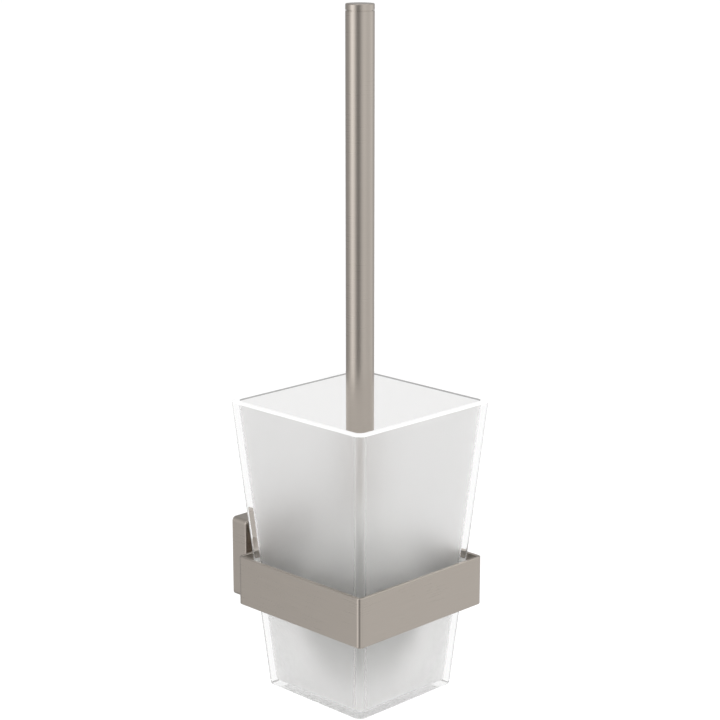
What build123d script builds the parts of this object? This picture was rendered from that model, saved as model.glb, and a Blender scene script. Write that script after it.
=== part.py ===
from build123d import *
import math
import os

# Wall-mounted toilet brush holder, in millimetres.
# A square ring on a short arm carries a tapered square glass. The brush stands in the glass
# on its bristles, and its round handle rises out of the glass.
# Frame: the origin is on the wall, in the middle of the rosette. +Y points into the wall,
# the room is on the -Y side, and +Z is up.

# ---- Overall layout
reach = 83.0            # wall to the upright axis that the glass and the brush share
overall_height = 393.0  # underside of the glass to the top of the handle
glass_drop = 64.0       # middle of the ring down to the underside of the glass

# ---- Glass: pressed tumbler, clear outside and satin inside
glass_height = 172.0
glass_rim = 106.0       # outside width at the rim
glass_base = 77.0       # outside width at the base
glass_wall = 4.0
glass_floor_thick = 3.0
glass_corner = 5.5      # upright outside corners
glass_bore_corner = 3.5  # upright inside corners
rim_round = 1.2
base_round = 1.5
floor_round = 1.0

# ---- Ring: flat bar bent to a square and welded, with a ledge inside its lower edge
ring_height = 29.0
ring_wall = 2.0
ring_gap = 2.7          # between the glass and the ring at the ring's upper edge
ring_corner = 2.6       # outside corner bend
ring_bore_corner = 0.8
ring_edge = 0.3
ledge_width = 2.0
ledge_thick = 1.5

# ---- Collar: moulded lining that seats the glass in the ring
collar_top_drop = 4.5   # ring's upper edge down to the collar
collar_clear = 0.1      # collar to ring, each side
seat_clear = 0.3        # collar to glass, each side

# ---- Rosette: cast cover over the wall bracket
rosette_side = 49.0
rosette_depth = 12.0
rosette_wall = 2.5
rosette_front = 3.0
rosette_corner = 2.6
rosette_edge = 1.0

# ---- Wall bracket: a bevelled plate that the rosette hooks on to
bracket_thick = 5.0
bracket_side_gap = 2.0  # bracket to the rosette's side walls
hook_room = 5.0         # bracket to the rosette's upper and lower walls
bevel_depth = 3.0       # how far the bevels undercut the plate, from its front to the wall
hook_depth = 3.0        # how far the rosette's hook reaches out from the wall
hook_width = 30.0
hook_clear = 0.2
wall_screw_r = 2.3
wall_screw_head_r = 4.6
wall_screw_edge = 7.0   # hole centre to the end of the bracket

# ---- Arm between the rosette and the ring
arm_width = 24.0
arm_height = 18.0
arm_edge = 0.6

# ---- Fasteners
thread_clear = 0.05     # radial, in every tapped hole
pass_clear = 0.2        # radial, in every plain clearance hole
pin_clear = 0.03        # radial, on the dowel pins
m3_r = 1.5
m3_head_r = 3.0
m3_length = 8.0
m4_r = 2.0
m4_socket_r = 1.0       # centre to the points of its hexagon socket
m4_socket_depth = 2.0
m6_r = 3.0
m6_head_r = 5.0
m6_head_thick = 3.0
m6_socket_r = 2.5       # centre to the points of its hexagon socket
m6_socket_depth = 1.5
m6_length = 13.0
pin_r = 1.5
pin_length = 7.5
pin_edge = 4.0          # pin centre to the side of the arm
ring_screw_edge = 5.0   # ring screw centre to the side of the arm
blind_gap = 1.0         # how far a blind hole runs on past what is in it
grub_out = 2.5          # wall to the grub screw's axis
grub_boss_r = 4.0
grub_boss_rise = 1.5
grub_recess = 1.0
grub_tip_r = 0.6
grub_tip_height = 1.5
grub_tip_gap = 0.5      # tip to the bevel, on the screw's axis

# ---- Handle
handle_diameter = 16.0
tube_wall = 1.0
cap_thick = 3.3
cap_edge = 0.4
groove_height = 0.6     # shadow line between the cap and the tube
groove_depth = 0.7
spigot_length = 10.0
spigot_clear = 0.1
o_ring_section = 1.2
o_ring_round = 0.3
o_ring_drop = 4.0       # tube's end down to the middle of the O-ring
bush_length = 22.0
bush_clear = 0.02
stud_r = 5.0
stud_length = 16.0

# ---- Brush head
bristle_floor_gap = 0.3
bristle_wall_gap = 1.0
core_r = 11.0
core_clear = 0.3        # bristle row to the core
core_lift = 9.0         # glass floor to the rounded lower end of the core
core_end_round = 5.0
hub_r = 12.5
hub_height = 10.0
row_count = 11
row_pitch = 8.0
row_gap = 0.6
row_edge = 1.2
head_r = 36.0
upper_dome = 56.0       # height above the glass floor where the head starts to narrow upwards
upper_dome_height = 55.0
lower_dome = 34.0       # height above the glass floor where the head starts to narrow downwards
lower_dome_height = 38.0

# ---- Places worked out from the sizes
glass_bottom = -glass_drop
glass_top = glass_bottom + glass_height
glass_floor = glass_bottom + glass_floor_thick
ring_top = ring_height / 2
ring_bottom = -ring_height / 2
handle_top = glass_bottom + overall_height


def glass_side(z):
    """Outside width of the glass at height z."""
    return glass_base + (glass_rim - glass_base) * (z - glass_bottom) / glass_height


def level(z):
    """Horizontal plane at height z, centred on the axis of the glass."""
    return Plane((0, -reach, z))


def upright(distance):
    """Upright plane that faces the room, at this distance from the wall."""
    return Plane.XZ.offset(distance)


def save(piece, name):
    """Labels a finished sub-part and writes it to its own STEP file."""
    piece.part.label = name
    export_step(piece.part, f"parts/{name}.step")


os.makedirs("parts", exist_ok=True)

# ---- Wall bracket
bracket_width = rosette_side - 2 * (rosette_wall + bracket_side_gap)
bracket_height = rosette_side - 2 * (rosette_wall + hook_room)
bracket_back = bracket_height - 2 * bevel_depth
wall_screw_spacing = bracket_width - 2 * wall_screw_edge

with BuildPart() as wall_bracket:
    with BuildSketch(Plane.YZ.offset(-bracket_width / 2)):
        with BuildLine():
            Polyline(
                (0, -bracket_back / 2),
                (-bracket_thick, -bracket_height / 2),
                (-bracket_thick, bracket_height / 2),
                (0, bracket_back / 2),
                close=True,
            )
        make_face()
    extrude(amount=bracket_width)
    with Locations(upright(bracket_thick)):
        with GridLocations(wall_screw_spacing, 0, 2, 1):
            CounterSinkHole(wall_screw_r, wall_screw_head_r)
save(wall_bracket, "wall_bracket")

# ---- Rosette: hollow cover with a hook inside its upper wall and a boss in its lower wall
cavity_side = rosette_side - 2 * rosette_wall
bevel_slope = bevel_depth / bracket_thick
hook_back = bracket_back / 2 + hook_clear
hook_front = hook_back + bevel_slope * hook_depth
pin_spacing = arm_width - 2 * pin_edge
boss_top = -cavity_side / 2 + grub_boss_rise

with BuildPart() as rosette:
    with BuildSketch(upright(0)):
        RectangleRounded(rosette_side, rosette_side, rosette_corner)
    extrude(amount=rosette_depth)
    fillet(rosette.faces().sort_by(Axis.Y)[0].edges(), rosette_edge)
    with BuildSketch(upright(0)):
        Rectangle(cavity_side, cavity_side)
    extrude(amount=rosette_depth - rosette_front, mode=Mode.SUBTRACT)
    with BuildSketch(Plane.YZ.offset(-hook_width / 2)):
        with BuildLine():
            Polyline(
                (0, hook_back),
                (-hook_depth, hook_front),
                (-hook_depth, cavity_side / 2),
                (0, cavity_side / 2),
                close=True,
            )
        make_face()
    extrude(amount=hook_width)
    with BuildSketch(Plane.XY.offset(-cavity_side / 2)):
        with Locations((0, -grub_out - grub_boss_r / 2)):
            Rectangle(2 * grub_boss_r, 2 * grub_out + grub_boss_r)
    extrude(amount=grub_boss_rise)
    with BuildSketch(Plane.XY.offset(-rosette_side / 2)):
        with Locations((0, -grub_out)):
            Circle(m4_r + thread_clear)
    extrude(amount=rosette_side / 2 + boss_top, mode=Mode.SUBTRACT)
    with BuildSketch(upright(rosette_depth)):
        Circle(m6_r + pass_clear)
        with GridLocations(pin_spacing, 0, 2, 1):
            Circle(pin_r + pin_clear)
    extrude(amount=-rosette_front, mode=Mode.SUBTRACT)
save(rosette, "rosette")

# ---- Grub screw that clamps the rosette to the bracket from below
grub_bottom = -rosette_side / 2 + grub_recess
grub_top = -bracket_back / 2 - bevel_slope * grub_out - grub_tip_gap

with BuildPart() as grub_screw:
    with BuildSketch(Plane((0, -grub_out, grub_bottom))):
        Circle(m4_r)
    extrude(amount=grub_top - grub_tip_height - grub_bottom)
    with BuildSketch(Plane((0, -grub_out, grub_top - grub_tip_height))):
        Circle(m4_r)
    with BuildSketch(Plane((0, -grub_out, grub_top))):
        Circle(grub_tip_r)
    loft()
    with BuildSketch(Plane((0, -grub_out, grub_bottom))):
        RegularPolygon(m4_socket_r, 6)
    extrude(amount=m4_socket_depth, mode=Mode.SUBTRACT)
save(grub_screw, "grub_screw")

# ---- Arm: solid bar, screwed to the rosette at one end and to the ring at the other
ring_bore = glass_side(ring_top) + 2 * ring_gap
ring_side = ring_bore + 2 * ring_wall
ring_back = reach - ring_side / 2
arm_length = ring_back - rosette_depth
cavity_depth = rosette_depth - rosette_front
ring_screw_spacing = arm_width - 2 * ring_screw_edge
m6_end = cavity_depth + m6_length
pin_end = cavity_depth + pin_length
ring_screw_end = ring_back + ring_wall - m3_length

with BuildPart() as holder_arm:
    with BuildSketch(upright(rosette_depth)):
        Rectangle(arm_width, arm_height)
    extrude(amount=arm_length)
    fillet(holder_arm.edges().filter_by(Axis.Y), arm_edge)
    with BuildSketch(upright(rosette_depth)):
        Circle(m6_r + thread_clear)
    extrude(amount=m6_end + blind_gap - rosette_depth, mode=Mode.SUBTRACT)
    with BuildSketch(upright(rosette_depth)):
        with GridLocations(pin_spacing, 0, 2, 1):
            Circle(pin_r + pin_clear)
    extrude(amount=pin_end + blind_gap - rosette_depth, mode=Mode.SUBTRACT)
    with BuildSketch(upright(ring_back)):
        with GridLocations(ring_screw_spacing, 0, 2, 1):
            Circle(m3_r + thread_clear)
    extrude(amount=-(ring_back - ring_screw_end + blind_gap), mode=Mode.SUBTRACT)
save(holder_arm, "holder_arm")

# ---- Arm screw and dowel pins, fitted from inside the rosette
with BuildPart() as arm_screw:
    with BuildSketch(upright(cavity_depth)):
        Circle(m6_head_r)
    extrude(amount=-m6_head_thick)
    with BuildSketch(upright(cavity_depth)):
        Circle(m6_r)
    extrude(amount=m6_length)
    with BuildSketch(upright(cavity_depth - m6_head_thick)):
        RegularPolygon(m6_socket_r, 6)
    extrude(amount=m6_socket_depth, mode=Mode.SUBTRACT)
save(arm_screw, "arm_screw")

with BuildPart() as arm_pins:
    with BuildSketch(upright(cavity_depth)):
        with GridLocations(pin_spacing, 0, 2, 1):
            Circle(pin_r)
    extrude(amount=pin_length)
save(arm_pins, "arm_pins")

# ---- Ring
head_cone = m3_head_r - m3_r

with BuildPart() as holder_ring:
    with BuildSketch(level(ring_bottom)):
        RectangleRounded(ring_side, ring_side, ring_corner)
    extrude(amount=ring_height)
    with BuildSketch(level(ring_bottom)):
        ledge_bore = ring_bore - 2 * ledge_width
        RectangleRounded(ledge_bore, ledge_bore, ring_bore_corner)
    extrude(amount=ledge_thick, mode=Mode.SUBTRACT)
    with BuildSketch(level(ring_bottom + ledge_thick)):
        RectangleRounded(ring_bore, ring_bore, ring_bore_corner)
    extrude(amount=ring_height - ledge_thick, mode=Mode.SUBTRACT)
    chamfer(holder_ring.edges().group_by(Axis.Z)[-1], ring_edge)
    chamfer(holder_ring.faces().sort_by(Axis.Z)[0].outer_wire().edges(), ring_edge)
    with Locations(upright(ring_back + ring_wall)):
        with GridLocations(ring_screw_spacing, 0, 2, 1):
            CounterSinkHole(m3_r + pass_clear, m3_head_r + pass_clear, depth=ring_wall)
save(holder_ring, "holder_ring")

# ---- Ring screws: countersunk, flush with the inside of the ring
with BuildPart() as ring_screws:
    with BuildSketch(upright(ring_screw_end)):
        with GridLocations(ring_screw_spacing, 0, 2, 1):
            Circle(m3_r)
    extrude(amount=m3_length - head_cone)
    with GridLocations(ring_screw_spacing, 0, 2, 1):
        with Locations((0, -(ring_back + ring_wall - head_cone / 2), 0)):
            Cone(m3_r, m3_head_r, head_cone, rotation=(90, 0, 0))
save(ring_screws, "ring_screws")

# ---- Collar: its bore follows the taper of the glass
collar_top = ring_top - collar_top_drop
collar_bottom = ring_bottom + ledge_thick

with BuildPart() as glass_collar:
    with BuildSketch(level(collar_bottom)):
        collar_side = ring_bore - 2 * collar_clear
        RectangleRounded(collar_side, collar_side, ring_bore_corner)
    extrude(amount=collar_top - collar_bottom)
    for z in (collar_bottom, collar_top):
        with BuildSketch(level(z)):
            bore = glass_side(z) + 2 * seat_clear
            RectangleRounded(bore, bore, glass_corner)
    loft(mode=Mode.SUBTRACT)
save(glass_collar, "glass_collar")

# ---- Glass tumbler
with BuildPart() as glass_tumbler:
    for z in (glass_bottom, glass_top):
        with BuildSketch(level(z)):
            RectangleRounded(glass_side(z), glass_side(z), glass_corner)
    loft()
    for z in (glass_floor, glass_top):
        with BuildSketch(level(z)):
            bore = glass_side(z) - 2 * glass_wall
            RectangleRounded(bore, bore, glass_bore_corner)
    loft(mode=Mode.SUBTRACT)
    floor_face = glass_tumbler.faces().filter_by(Plane.XY).sort_by(Axis.Z)[1]
    fillet(floor_face.edges(), floor_round)
    fillet(glass_tumbler.edges().group_by(Axis.Z)[-1], rim_round)
    fillet(glass_tumbler.edges().group_by(Axis.Z)[0], base_round)
save(glass_tumbler, "glass_tumbler")

# ---- Handle tube
handle_r = handle_diameter / 2
tube_bore_r = handle_r - tube_wall
head_top = glass_floor + core_lift + row_count * row_pitch
tube_bottom = head_top + hub_height
tube_top = handle_top - cap_thick - groove_height

with BuildPart() as handle_tube:
    with BuildSketch(level(tube_bottom)):
        Circle(handle_r)
        Circle(tube_bore_r, mode=Mode.SUBTRACT)
    extrude(amount=tube_top - tube_bottom)
save(handle_tube, "handle_tube")

# ---- End cap: disc with a neck for the shadow line, a spigot and an O-ring groove
spigot_r = tube_bore_r - spigot_clear
o_ring_z = tube_top - o_ring_drop
o_ring_inner = tube_bore_r - o_ring_section

with BuildPart() as end_cap:
    with BuildSketch(level(handle_top - cap_thick)):
        Circle(handle_r)
    extrude(amount=cap_thick)
    chamfer(end_cap.edges().group_by(Axis.Z)[-1], cap_edge)
    with BuildSketch(level(tube_top)):
        Circle(handle_r - groove_depth)
    extrude(amount=groove_height)
    with BuildSketch(level(tube_top - spigot_length)):
        Circle(spigot_r)
    extrude(amount=spigot_length)
    with BuildSketch(level(o_ring_z - o_ring_section / 2)):
        Circle(handle_r)
        Circle(o_ring_inner, mode=Mode.SUBTRACT)
    extrude(amount=o_ring_section, mode=Mode.SUBTRACT)
save(end_cap, "end_cap")

with BuildPart() as cap_o_ring:
    with BuildSketch(level(o_ring_z - o_ring_section / 2)):
        Circle(tube_bore_r - thread_clear)
        Circle(o_ring_inner + thread_clear, mode=Mode.SUBTRACT)
    extrude(amount=o_ring_section)
    fillet(cap_o_ring.edges(), o_ring_round)
save(cap_o_ring, "cap_o_ring")

# ---- Threaded bush in the lower end of the tube
with BuildPart() as thread_bush:
    with BuildSketch(level(tube_bottom)):
        Circle(tube_bore_r - bush_clear)
        Circle(stud_r + thread_clear, mode=Mode.SUBTRACT)
    extrude(amount=bush_length)
save(thread_bush, "thread_bush")

# ---- Brush core: moulded, with a stud that screws into the bush
core_bottom = glass_floor + core_lift

with BuildPart() as brush_core:
    with BuildSketch(level(core_bottom)):
        Circle(core_r)
    extrude(amount=head_top - core_bottom)
    fillet(brush_core.edges().group_by(Axis.Z)[0], core_end_round)
    with BuildSketch(level(head_top)):
        Circle(hub_r)
    with BuildSketch(level(tube_bottom)):
        Circle(handle_r)
    loft()
    with BuildSketch(level(tube_bottom)):
        Circle(stud_r)
    extrude(amount=stud_length)
save(brush_core, "brush_core")


# ---- Bristles: one closed solid for each row of tufts, and one for the tufts at the end
def head_radius(z):
    """Reach of the bristles at height z: domed at both ends, and clear of the tapered glass."""
    rise = max(0.0, z - glass_floor - upper_dome) / upper_dome_height
    fall = max(0.0, glass_floor + lower_dome - z) / lower_dome_height
    domed = head_r * math.sqrt(1 - max(rise, fall) ** 2)
    return min(domed, glass_side(z) / 2 - glass_wall - bristle_wall_gap)


for row in range(row_count):
    row_bottom = core_bottom + row * row_pitch + row_gap
    with BuildPart() as bristle_row:
        with BuildSketch(level(row_bottom)):
            Circle(head_radius(row_bottom))
        extrude(amount=row_pitch - row_gap)
        chamfer(bristle_row.edges(), row_edge)
        with BuildSketch(level(row_bottom)):
            Circle(core_r + core_clear)
        extrude(amount=row_pitch - row_gap, mode=Mode.SUBTRACT)
    save(bristle_row, f"bristle_row_{row + 1:02d}")

with BuildPart() as bristle_end:
    for z in (glass_floor + bristle_floor_gap, core_bottom - core_clear):
        with BuildSketch(level(z)):
            Circle(head_radius(z))
    loft()
save(bristle_end, "bristle_end")
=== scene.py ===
import math
import random

import bpy
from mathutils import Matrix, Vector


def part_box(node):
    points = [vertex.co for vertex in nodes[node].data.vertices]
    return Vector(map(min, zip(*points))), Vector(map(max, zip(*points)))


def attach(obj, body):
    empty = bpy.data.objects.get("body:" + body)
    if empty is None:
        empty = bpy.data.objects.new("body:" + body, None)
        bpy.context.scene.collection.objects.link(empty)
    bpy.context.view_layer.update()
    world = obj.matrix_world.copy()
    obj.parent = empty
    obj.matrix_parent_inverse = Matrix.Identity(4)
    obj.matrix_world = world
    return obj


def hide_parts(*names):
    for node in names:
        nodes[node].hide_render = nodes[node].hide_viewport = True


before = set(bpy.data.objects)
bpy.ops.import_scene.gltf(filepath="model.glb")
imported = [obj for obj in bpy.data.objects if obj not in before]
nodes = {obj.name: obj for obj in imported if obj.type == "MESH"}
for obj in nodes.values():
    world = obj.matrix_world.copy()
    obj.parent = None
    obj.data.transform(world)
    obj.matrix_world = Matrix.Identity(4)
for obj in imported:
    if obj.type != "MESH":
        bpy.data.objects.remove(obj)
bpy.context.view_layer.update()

# ---- Wall bracket
# A pressed steel plate with bevelled edges, screwed flat to the wall, which the rosette hooks
# over. Its zinc plating is dull, with the faint cloudy spangle that a barrel finish leaves.


class Field:
    """A value or colour that varies over a surface. A sign written with it adds a Math node."""

    def __init__(self, tree, source=None):
        self.tree = tree
        self.source = source

    def node(self, kind, settings, inputs, output=0):
        """Adds a node. Its settings come first, then its sockets' values, by name or number."""
        made = self.tree.nodes.new(kind)
        for name, value in settings.items():
            if name == "stops":
                made.color_ramp.interpolation = "EASE"
                ramp = made.color_ramp.elements
                while len(ramp) < len(value):
                    ramp.new(1.0)
                for stop, (position, level) in zip(ramp, value):
                    stop.position = position
                    stop.color = (level, level, level, 1.0)
            else:
                setattr(made, name, value)
        for place, value in inputs.items():
            if isinstance(value, Field):
                self.tree.links.new(value.source, made.inputs[place])
            else:
                made.inputs[place].default_value = value
        return Field(self.tree, made.outputs[output] if made.outputs else None)

    def math(self, operation, *values):
        return self.node("ShaderNodeMath", {"operation": operation}, dict(enumerate(values)))

    def __add__(self, other):
        return self.math("ADD", self, other)

    def __sub__(self, other):
        return self.math("SUBTRACT", self, other)

    def __rsub__(self, other):
        return self.math("SUBTRACT", other, self)

    def __mul__(self, other):
        return self.math("MULTIPLY", self, other)

    def __truediv__(self, other):
        return self.math("DIVIDE", self, other)

    def __pow__(self, other):
        return self.math("POWER", self, other)

    def __gt__(self, other):
        return self.math("GREATER_THAN", self, other)

    def __abs__(self):
        return self.math("ABSOLUTE", self)

    __radd__ = __add__
    __rmul__ = __mul__

    def noise(self, x, y, z, detail=2.0):
        """Noise of a size that is already in x, y and z, as a number near a half."""
        place = self.node("ShaderNodeCombineXYZ", {}, {"X": x, "Y": y, "Z": z})
        sockets = {"Vector": place, "Scale": 1.0, "Detail": detail}
        return self.node("ShaderNodeTexNoise", {}, sockets)

    def between(self, first, second):
        """The colour this far from the first to the second."""
        sockets = {0: self, 6: (*first, 1.0), 7: (*second, 1.0)}
        return self.node("ShaderNodeMix", {"data_type": "RGBA"}, sockets, 2)

    def relief(self, depth, strength):
        """This height as a bump, this many metres deep."""
        sockets = {"Height": self, "Distance": depth, "Strength": strength}
        return self.node("ShaderNodeBump", {}, sockets)


def new_material(name):
    """An empty node material, and the field that its nodes start from."""
    material = bpy.data.materials.new(name)
    material.use_nodes = True
    material.node_tree.nodes.clear()
    return material, Field(material.node_tree)


def places(blank):
    """The row frame's x, y and z over a piece, in metres."""
    point = blank.node("ShaderNodeTexCoord", {}, {}, "Object")
    return [blank.node("ShaderNodeSeparateXYZ", {}, {"Vector": point}, axis) for axis in "XYZ"]


def surface(blank, sockets):
    """The shader of a material made of one substance."""
    shader = blank.node("ShaderNodeBsdfPrincipled", {}, sockets)
    blank.node("ShaderNodeOutputMaterial", {}, {"Surface": shader})


def dress(piece, *materials):
    """Gives a piece these materials and nothing else."""
    piece.data.materials.clear()
    for material in materials:
        piece.data.materials.append(material)


def zinc_plate():
    zinc, blank = new_material("zinc_plate")
    x, y, z = places(blank)
    cloud = blank.noise(x * 420, y * 420, z * 420, 4.0)
    grit = blank.noise(x * 5200, y * 5200, z * 5200)
    surface(blank, {
        "Base Color": cloud.between((0.36, 0.38, 0.42), (0.60, 0.61, 0.62)),
        "Metallic": 1.0,
        "Roughness": 0.30 + 0.25 * cloud,
        "Normal": grit.relief(0.00004, 0.3),
    })
    return zinc


dress(nodes["wall_bracket"], zinc_plate())

# ---- Rosette
# A square die-cast cover that hides the bracket and carries the arm. It is nickel plated and
# then brushed level all round, so the lines run sideways, and from side to side on its top.


def brushed_nickel(name, find_across):
    """Brushed nickel. The function gives the place across the brush lines from x, y and z."""
    nickel, blank = new_material(name)
    x, y, z = places(blank)
    across = find_across(x, y, z)
    fine = blank.noise(x * 45, y * 45, across * 5200)
    broad = blank.noise(x * 20, y * 20, across * 2600)
    handled = blank.noise(x * 38, y * 38, z * 38)
    lines = 0.75 * fine + 0.25 * broad
    surface(blank, {
        "Base Color": lines.between((0.410, 0.370, 0.329), (0.485, 0.440, 0.396)),
        "Metallic": 1.0,
        "Roughness": 0.20 + 0.14 * lines + 0.06 * handled,
        "Normal": lines.relief(0.00003, 0.12),
    })
    return nickel


rosette_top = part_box("rosette")[1].z
rosette_edge = 0.0012


def across_rosette(x, y, z):
    on_top = abs(z) > rosette_top - rosette_edge
    return z + y * on_top


dress(nodes["rosette"], brushed_nickel("rosette_nickel", across_rosette))

# ---- Screws and pins
# The grub screw, the arm's cap screw, its two dowel pins and the two countersunk ring screws.
# They are stainless, turned or cold headed, and bright apart from a trace of thread oil.


def stainless():
    steel, blank = new_material("stainless_screws")
    x, y, z = places(blank)
    turned = blank.noise(x * 1500, y * 2600, z * 1500)
    film = blank.noise(x * 300, y * 300, z * 300)
    surface(blank, {
        "Base Color": film.between((0.42, 0.42, 0.42), (0.60, 0.60, 0.59)),
        "Metallic": 1.0,
        "Roughness": 0.18 + 0.20 * turned,
        "Normal": turned.relief(0.00003, 0.3),
    })
    return steel


screw_steel = stainless()
for fastener in ("grub_screw", "arm_screw", "arm_pins", "ring_screws"):
    dress(nodes[fastener], screw_steel)

# ---- Arm
# A solid bar between the rosette and the ring, a little wider than it is high, plated with them
# and brushed lengthwise on all four sides. Its edges are only broken, so they catch the light.


def across_arm(x, y, z):
    return z + abs(x)


dress(nodes["holder_arm"], brushed_nickel("arm_nickel", across_arm))

# ---- Ring
# Flat bar bent to a square, welded at the back where the arm hides it, then plated. The brush
# lines follow the bar round, both on its faces and along its narrow upper edge.

tumbler_low, tumbler_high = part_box("glass_tumbler")
axis_y = (tumbler_low.y + tumbler_high.y) / 2


def across_ring(x, y, z):
    return z + x.math("MAXIMUM", abs(x), abs(y - axis_y))


dress(nodes["holder_ring"], brushed_nickel("ring_nickel", across_ring))

# ---- Collar
# A moulded lining that fills the ring's inside and takes the taper of the glass. It is pale
# natural plastic with a fine spark-eroded grain, which hardly shows through the glass.


def moulded(name, dark, light, roughness, grain_size, grain_depth):
    """Moulded plastic with an eroded grain and the faint clouding of its pigment."""
    plastic, blank = new_material(name)
    x, y, z = places(blank)
    grain = blank.noise(x / grain_size, y / grain_size, z / grain_size)
    cloud = blank.noise(x * 90, y * 90, z * 90, 3.0)
    surface(blank, {
        "Base Color": cloud.between(dark, light),
        "Roughness": roughness + 0.15 * grain,
        "IOR": 1.49,
        "Normal": grain.relief(grain_depth, 0.4),
    })
    return plastic


collar_plastic = moulded(
    "collar_plastic", (0.82, 0.82, 0.81), (0.87, 0.87, 0.86), 0.42, 0.0003, 0.00005
)
dress(nodes["glass_collar"], collar_plastic)

# ---- Glass
# A thick pressed tumbler, square and tapered. Its outside and foot are fire polished and clear,
# its rim is ground white, and its inside is etched to a satin, which blurs the brush in it.

base_side = 0.077
rim_side = 0.106
wall = 0.004
floor_thick = 0.003
outer_corner = 0.0055
inner_corner = 0.0035
rim_round = 0.0012
base_round = 0.0015
floor_round = 0.001
corner_steps = 10
round_steps = 6
wall_steps = 12
painted_shade_steps = 3    # of the round_steps inside the rim, those that carry a dull grey band of painted shade
glass_height = tumbler_high.z - tumbler_low.z
lean = math.atan((rim_side - base_side) / 2 / glass_height)


def half_side(z):
    """From the axis of the glass to the middle of an outer wall, at height z."""
    return (base_side + (rim_side - base_side) * (z - tumbler_low.z) / glass_height) / 2


def square_loop(half, corner, z):
    """Points round a square with round corners, at height z."""
    points = []
    for side in range(4):
        turn = side * math.pi / 2
        for step in range(corner_steps + 1):
            angle = math.pi / 2 * step / corner_steps
            x = half - corner + corner * math.cos(angle)
            y = half - corner + corner * math.sin(angle)
            points.append((
                x * math.cos(turn) - y * math.sin(turn),
                axis_y + x * math.sin(turn) + y * math.cos(turn),
                z,
            ))
    return points


def rounding(half, z, radius, start, end, corner):
    """Loops round an edge: an arc about (half, z) from one angle to the other."""
    loops = []
    for step in range(round_steps + 1):
        angle = start + (end - start) * step / round_steps
        outward = radius * math.cos(angle)
        loops.append(square_loop(half + outward, corner + outward, z + radius * math.sin(angle)))
    return loops


def straight(bottom, top, inset, corner):
    """Loops up a wall, between but not at two heights."""
    heights = [bottom + (top - bottom) * step / wall_steps for step in range(1, wall_steps)]
    return [square_loop(half_side(z) - inset, corner, z) for z in heights]


def glass_loops():
    """Every loop of the tumbler, up the outside, over the rim and down inside, and its zones."""
    foot = tumbler_low.z + base_round
    rim = tumbler_high.z - rim_round
    bed = tumbler_low.z + floor_thick + floor_round
    foot_half = half_side(foot) - base_round / math.cos(lean)
    outer_half = half_side(rim) - rim_round / math.cos(lean)
    inner_half = half_side(rim) - wall + rim_round / math.cos(lean)
    bed_half = half_side(bed) - wall - floor_round / math.cos(lean)
    quarter = math.pi / 2
    clear, satin, ground, painted_shade_band = range(4)
    outside = rounding(foot_half, foot, base_round, -quarter, -lean, outer_corner - base_round)
    outside += straight(foot, rim, 0, outer_corner)
    outside += rounding(outer_half, rim, rim_round, -lean, quarter, outer_corner - rim_round)
    inside = rounding(inner_half, rim, rim_round, quarter, math.pi - lean, inner_corner + rim_round)
    inner_wall = len(outside) + round_steps
    inside += straight(rim, bed, wall, inner_corner)
    zones = (
        (-1, clear),
        (len(outside) - 1 - round_steps, ground),
        (inner_wall - painted_shade_steps, painted_shade_band),
        (inner_wall, satin),
    )
    inside += rounding(bed_half, bed, floor_round, -lean, -quarter, inner_corner - floor_round)
    return outside + inside, zones


def loft(name, loops, zones, *materials):
    """A closed skin through the loops. A zone is the band it starts at and its material's number."""
    count = len(loops[0])
    points = [point for loop in loops for point in loop]
    faces = [tuple(reversed(range(count)))]
    for band in range(len(loops) - 1):
        for step in range(count):
            after = (step + 1) % count
            low = band * count
            faces.append((low + step, low + after, low + count + after, low + count + step))
    last = (len(loops) - 1) * count
    faces.append(tuple(range(last, last + count)))
    mesh = bpy.data.meshes.new(name)
    mesh.from_pydata(points, [], faces)
    piece = bpy.data.objects.new(name, mesh)
    bpy.context.scene.collection.objects.link(piece)
    dress(piece, *materials)
    for number, face in enumerate(mesh.polygons):
        face.use_smooth = True
        band = (number - 1) // count
        face.material_index = [material for start, material in zones if band >= start][-1]
    normals = piece.modifiers.new("even_normals", "WEIGHTED_NORMAL")
    normals.keep_sharp = True
    return piece


def clear_glass():
    glass, blank = new_material("clear_glass")
    x, y, z = places(blank)
    pressed = blank.noise(x * 55, y * 55, z * 55)
    surface(blank, {
        "Base Color": pressed.between((0.990, 0.991, 0.990), (0.995, 0.996, 0.995)),
        "Roughness": 0.004 * pressed,
        "IOR": 1.17,
        "Transmission Weight": 1.0,
        "Normal": pressed.relief(0.0001, 0.05),
    })
    return glass


def satin_glass():
    glass, blank = new_material("satin_glass")
    x, y, z = places(blank)
    etched = blank.noise(x * 2600, y * 2600, z * 2600)
    cloud = blank.noise(x * 70, y * 70, z * 70, 3.0)
    surface(blank, {
        "Base Color": cloud.between((0.815, 0.809, 0.803), (0.835, 0.829, 0.823)),
        "Roughness": 0.58 + 0.06 * cloud + 0.04 * etched,
        "IOR": 1.45,
        "Transmission Weight": 1.0,
        "Normal": etched.relief(0.00003, 0.15),
    })
    return glass


def ground_glass():
    glass, blank = new_material("ground_rim")
    x, y, z = places(blank)
    ground = blank.noise(x * 3200, y * 3200, z * 3200)
    surface(blank, {
        "Base Color": ground.between((0.96, 0.96, 0.96), (0.99, 0.99, 0.99)),
        "Roughness": 0.45 + 0.10 * ground,
        "IOR": 1.2,
        "Transmission Weight": 0.25,
        "Normal": ground.relief(0.00003, 0.15),
    })
    return glass


# Painted shade: a dull grey band on the inner arris of the rim. It stands in for the thin dark line
# of shade that falls along it, and is not a colour of the glass.
def painted_shade_arris_glass():
    glass, blank = new_material("rim_painted_shade")
    x, y, z = places(blank)
    ground = blank.noise(x * 2400, y * 2400, z * 2400)
    surface(blank, {
        "Base Color": ground.between((0.30, 0.30, 0.30), (0.42, 0.42, 0.42)),
        "Roughness": 0.35 + 0.10 * ground,
        "IOR": 1.2,
        "Transmission Weight": 0.25,
    })
    return glass


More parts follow.
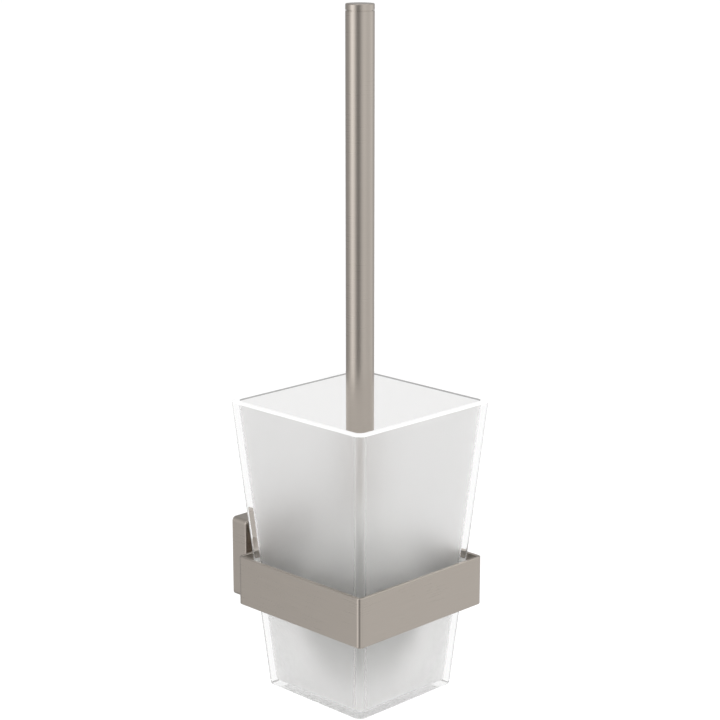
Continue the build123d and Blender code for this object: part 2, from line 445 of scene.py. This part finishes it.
loops, zones = glass_loops()
tumbler = loft("tumbler", loops, zones, clear_glass(), satin_glass(), ground_glass(), painted_shade_arris_glass())
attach(tumbler, "glass")
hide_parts("glass_tumbler")

# ---- Handle and end cap
# Drawn tube, nickel plated, brushed round and round while it turns. The cap is a turned disc
# that is pushed in on a neck, which leaves the thin dark line below it.


def across_handle(x, y, z):
    outward = y - axis_y
    return z + (x * x + outward * outward) ** 0.5


handle_nickel = brushed_nickel("handle_nickel", across_handle)
dress(nodes["handle_tube"], handle_nickel)
dress(nodes["end_cap"], handle_nickel)

# ---- O-ring
# A black rubber ring in the cap's spigot, which grips the inside of the tube and keeps the
# cap from turning or rattling. Its skin is dull, with a dusty bloom.

rubber = moulded("o_ring_rubber", (0.012, 0.012, 0.012), (0.030, 0.030, 0.030), 0.60, 0.0002, 0.00002)
dress(nodes["cap_o_ring"], rubber)

# ---- Thread bush
# Turned brass, pressed into the lower end of the tube, for the stud of the brush head. The
# tool leaves fine rings on it, and the brass has darkened a little in the damp.


def turned_brass():
    brass, blank = new_material("bush_brass")
    x, y, z = places(blank)
    rings = blank.noise(x * 60, y * 60, z * 4200)
    tarnish = blank.noise(x * 160, y * 160, z * 160, 4.0)
    surface(blank, {
        "Base Color": tarnish.between((0.46, 0.30, 0.11), (0.72, 0.52, 0.24)),
        "Metallic": 1.0,
        "Roughness": 0.20 + 0.22 * rings,
        "Normal": rings.relief(0.00004, 0.4),
    })
    return brass


dress(nodes["thread_bush"], turned_brass())

# ---- Brush core
# The moulded body of the brush head, with a hub that takes over the handle's width and a
# stud on top. It is white polypropylene, slightly glossy, with a fine grain.

core_plastic = moulded(
    "core_plastic", (0.78, 0.78, 0.77), (0.85, 0.85, 0.84), 0.34, 0.0004, 0.00004
)
dress(nodes["brush_core"], core_plastic)

# ---- Bristles
# Nylon filaments, doubled over and stapled into the core in rows of tufts, each row turned by
# half a step from the one below. The tufts fan out, and the head is trimmed to a dome.

filament_r = 0.0002
filament_sides = 3
filament_steps = 4
tufts_in_row = 16
filaments_in_tuft = 32
tuft_root = 0.0014      # radius of a tuft where it leaves the core
root_depth = 0.0008
core_r = 0.011
bunching = 0.6          # 0.5 spreads the filaments evenly over their tuft, more bunches them
shortest = 0.965        # the shortest filament, as a share of the longest
most_sag = 0.3          # how far one bows, as a share of its tuft's half height
late_parting = 1.3      # 1 parts them evenly on their way out, more parts them later
side_fan = 0.33         # half the width of a tip, as a share of the step to the next tuft
stray = 0.03            # how far a tuft is turned from its place, in radians
rows = sorted(name for name in nodes if name.startswith("bristle_row_"))
draw = random.Random(7)


def cross(a, b):
    return [
        a[1] * b[2] - a[2] * b[1],
        a[2] * b[0] - a[0] * b[2],
        a[0] * b[1] - a[1] * b[0],
    ]


def filament(points, faces, route):
    """Adds one filament that follows a short route, and closes both its ends."""
    start = len(points)
    for number, (x, y, z) in enumerate(route):
        nearby = route[min(number + 1, len(route) - 1)]
        before = route[max(number - 1, 0)]
        heading = [a - b for a, b in zip(nearby, before)]
        length = math.sqrt(sum(part * part for part in heading))
        heading = [part / length for part in heading]
        upright = (0.0, 0.0, 1.0) if abs(heading[2]) < 0.9 else (1.0, 0.0, 0.0)
        side = cross(heading, upright)
        size = math.sqrt(sum(part * part for part in side))
        side = [part / size for part in side]
        up = cross(side, heading)
        for step in range(filament_sides):
            angle = 2 * math.pi * step / filament_sides
            across, rise = filament_r * math.cos(angle), filament_r * math.sin(angle)
            points.append((
                x + across * side[0] + rise * up[0],
                y + across * side[1] + rise * up[1],
                z + across * side[2] + rise * up[2],
            ))
    for band in range(len(route) - 1):
        for step in range(filament_sides):
            after = (step + 1) % filament_sides
            low = start + band * filament_sides
            high = low + filament_sides
            faces.append((low + step, high + step, high + after, low + after))
    faces.append(tuple(range(start, start + filament_sides)))
    faces.append(tuple(reversed(range(len(points) - filament_sides, len(points)))))


def in_disc():
    """A chance place in a disc of radius 1, denser towards its middle."""
    reach, turn = draw.random() ** bunching, draw.uniform(0, 2 * math.pi)
    return reach * math.cos(turn), reach * math.sin(turn)


def tuft(points, faces, angle, root, tip, fan):
    """A tuft between two places given as (radius, height), spread sideways and upwards."""
    for _ in range(filaments_in_tuft):
        sideways, upwards = in_disc()
        length = draw.uniform(shortest, 1.0)
        sag = draw.uniform(-most_sag, most_sag) * fan[1]
        route = []
        for step in range(filament_steps + 1):
            share = step / filament_steps
            spread = share ** late_parting
            radius = root[0] + (tip[0] * length - root[0]) * share
            across = sideways * (tuft_root + (fan[0] - tuft_root) * spread)
            height = root[1] + (tip[1] - root[1]) * share
            height += upwards * (tuft_root + (fan[1] - tuft_root) * spread)
            height += sag * share * (1 - share)
            route.append((
                radius * math.cos(angle) - across * math.sin(angle),
                axis_y + radius * math.sin(angle) + across * math.cos(angle),
                height,
            ))
        filament(points, faces, route)


def bristle_piece(name, points, faces, material, node):
    """The filaments as one piece that rides with the brush, in place of a plain node."""
    mesh = bpy.data.meshes.new(name)
    mesh.from_pydata(points, [], faces)
    piece = bpy.data.objects.new(name, mesh)
    bpy.context.scene.collection.objects.link(piece)
    dress(piece, material)
    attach(piece, "brush")
    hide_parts(node)


def nylon():
    filaments, blank = new_material("bristle_nylon")
    x, y, z = places(blank)
    batch = blank.noise(x * 260, y * 260, z * 260)
    streak = blank.noise(x * 1800, y * 1800, z * 1800)
    surface(blank, {
        "Base Color": batch.between((0.90, 0.90, 0.89), (0.95, 0.95, 0.94)),
        "Roughness": 0.30 + 0.20 * streak,
        "IOR": 1.53,
    })
    return filaments


bristle_nylon = nylon()
for number, node in enumerate(rows):
    low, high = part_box(node)
    middle = (low.z + high.z) / 2
    reach = high.x - 2 * filament_r
    rise = (high.z - low.z) / 2 - 2 * filament_r
    tuft_angle = 2 * math.pi / tufts_in_row
    points, faces = [], []
    for place in range(tufts_in_row):
        angle = tuft_angle * (place + number % 2 / 2) + draw.uniform(-stray, stray)
        fan = (side_fan * reach * tuft_angle, rise)
        tip = math.sqrt(reach ** 2 - fan[0] ** 2)
        tuft(points, faces, angle, (core_r - root_depth, middle), (tip, middle), fan)
    bristle_piece(f"bristles_{number + 1:02d}", points, faces, bristle_nylon, node)

# ---- End tufts
# Two small circles of the same tufts in the rounded lower end of the core. They splay out
# over the floor of the glass, so that the brush also cleans straight ahead.

core_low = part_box("brush_core")[0]
end_low, end_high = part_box("bristle_end")
end_fan = (0.0036, 0.0009)
end_tip_z = end_low.z + 0.0014
end_circles = (
    # tufts, root radius, tip radius
    (10, 0.0075, 0.86 * end_high.x),
    (6, 0.0035, 0.46 * end_high.x),
)
points, faces = [], []
for count, root_r, tip_r in end_circles:
    for place in range(count):
        angle = 2 * math.pi * (place + count / 4) / count
        root = (root_r, core_low.z + root_depth)
        tuft(points, faces, angle, root, (tip_r, end_tip_z), end_fan)
bristle_piece("bristles_end", points, faces, bristle_nylon, "bristle_end")

# ---- Floor
# A plain pale sheet, far enough below the object that its shadow is only a breath of grey. It
# is lit a little through its back, so that it stays white right out to its edges.

floor_drop = 0.30
floor_half = 15.0


def paper():
    sheet, blank = new_material("pale_paper")
    x, y, z = places(blank)
    tooth = blank.noise(x * 900, y * 900, z * 900)
    surface(blank, {
        "Base Color": tooth.between((0.92, 0.92, 0.92), (0.95, 0.95, 0.95)),
        "Roughness": 0.85,
        "Emission Color": (1.0, 1.0, 1.0, 1.0),
        "Emission Strength": 0.10,
    })
    return sheet


floor_z = tumbler_low.z - floor_drop
floor_mesh = bpy.data.meshes.new("floor")
floor_mesh.from_pydata(
    [
        (-floor_half, axis_y - floor_half, floor_z),
        (floor_half, axis_y - floor_half, floor_z),
        (floor_half, axis_y + floor_half, floor_z),
        (-floor_half, axis_y + floor_half, floor_z),
    ],
    [],
    [(0, 1, 2, 3)],
)
floor = bpy.data.objects.new("floor", floor_mesh)
bpy.context.scene.collection.objects.link(floor)
dress(floor, paper())
floor.visible_glossy = False
floor.visible_transmission = False

# ---- Studio
# White paper all round. What shines in the metal is a soft grey room with one tall bright
# panel to the left, a darker gap beside it and a wide dimmer panel to the right.

# how far round from the front left corner, in degrees, and how bright the room is there
room_round = (
    (-180, 0.50), (-130, 0.50), (-100, 0.58), (-84, 0.90), (-66, 1.66), (-48, 1.38),
    (-32, 0.63), (-16, 0.26), (-2, 0.42), (14, 0.88), (34, 1.05), (62, 0.90),
    (82, 0.93), (108, 1.12), (128, 0.72), (180, 0.50),
)
paper_level = 1.0
panel_edge = 0.75      # what is brighter than this is a panel, and a panel fades downwards
fade_level = 1.7       # how bright a panel is at eye level, over the value above
fade_slope = 4.3
fade_low = 0.7
fade_high = 1.6


def studio():
    world = bpy.data.worlds.new("studio")
    world.use_nodes = True
    world.node_tree.nodes.clear()
    blank = Field(world.node_tree)
    x, y, z = (
        blank.node(
            "ShaderNodeSeparateXYZ", {},
            {"Vector": blank.node("ShaderNodeTexCoord", {}, {}, "Generated")}, axis,
        )
        for axis in "XYZ"
    )
    turn = x.math("ARCTAN2", x - y, 0 - (x + y)) / (2 * math.pi) + 0.5
    brightest = max(level for _, level in room_round)
    stops = [(degrees / 360 + 0.5, level / brightest) for degrees, level in room_round]
    room = blank.node("ShaderNodeValToRGB", {"stops": stops}, {"Fac": turn}) * brightest
    fade = x.math("MAXIMUM", fade_low, fade_level + fade_slope * z)
    fade = x.math("MINIMUM", fade_high, fade)
    lit = x.math("MAXIMUM", room - panel_edge, 0.0)
    room = room + lit * (fade - 1)
    shiny = blank.node("ShaderNodeLightPath", {}, {}, "Is Glossy Ray")
    inside = blank.node("ShaderNodeLightPath", {}, {}, "Transmission Depth") > 0.5
    level = paper_level + shiny * (1 - inside) * (room - paper_level)
    light = blank.node("ShaderNodeBackground", {}, {"Color": (1, 1, 1, 1), "Strength": level})
    blank.node("ShaderNodeOutputWorld", {}, {"Surface": light})
    return world


bpy.context.scene.world = studio()


def panel(name, place, size, power):
    """A soft area lamp that faces the middle of the ring."""
    lamp_data = bpy.data.lights.new(name, "AREA")
    lamp_data.shape = "DISK"
    lamp_data.size = size
    lamp_data.energy = power
    lamp = bpy.data.objects.new(name, lamp_data)
    bpy.context.scene.collection.objects.link(lamp)
    lamp.location = place
    aim = lamp.location.copy()
    aim.y -= axis_y
    lamp.rotation_mode = "QUATERNION"
    lamp.rotation_quaternion = aim.to_track_quat("Z", "Y")
    lamp.visible_glossy = False


panel("key_lamp", (-1.2, -1.6, 1.6), 1.2, 14.0)
panel("fill_lamp", (1.8, -1.0, 0.9), 1.4, 6.0)

# ---- Camera
# A long lens that looks down a little on the front left corner of the holder.

camera_data = bpy.data.cameras.new("camera")
camera_data.lens = 99.76
camera_data.sensor_width = 36.0
camera = bpy.data.objects.new("camera", camera_data)
bpy.context.scene.collection.objects.link(camera)
camera_away = 0.77015
camera_height = 0.4028
camera_pitch = 0.2446
camera.location = (-camera_away, axis_y - camera_away, camera_height)
camera.rotation_euler = (math.pi / 2 - camera_pitch, 0, -math.pi / 4)
bpy.context.scene.camera = camera
bpy.context.scene.view_settings.view_transform = "Standard"
paths = bpy.context.scene.cycles
paths.max_bounces = 32
paths.glossy_bounces = 24
paths.transmission_bounces = 24
paths.diffuse_bounces = 8
